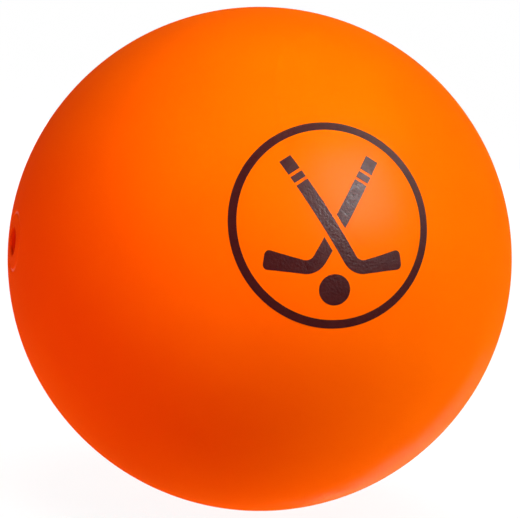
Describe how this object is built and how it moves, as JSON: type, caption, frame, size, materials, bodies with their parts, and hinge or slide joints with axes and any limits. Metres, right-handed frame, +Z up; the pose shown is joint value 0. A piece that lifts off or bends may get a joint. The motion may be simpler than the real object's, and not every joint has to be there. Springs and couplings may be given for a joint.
{
  "type": "street hockey ball",
  "caption": "Smooth orange vinyl street hockey ball: hollow moulded shell with a cemented fill plug and a damping liquid inside that kills the bounce.",
  "frame": {"origin": "the ball's centre", "axes": "-Z down to the point that touches the floor, -X out through the fill plug, +Z up"},
  "size_m": [0.0659, 0.066, 0.066],
  "materials": {
    "shell_vinyl": "satin",
    "plug_vinyl": "satin",
    "print_ink": "satin",
    "cement": "gloss",
    "liquid": "gloss"
  },
  "bodies": {
    "ball": {"shell": "shell_vinyl", "fill_plug": "plug_vinyl", "plug_cement": "cement"},
    "liquid": {"damping_liquid": "liquid"}
  },
  "joints": [
    {"name": "liquid_swing", "type": "hinge", "parent": "ball", "child": "liquid", "pos_m": [0, 0, 0], "axis": [1, 0, 0], "continuous": true}
  ]
}
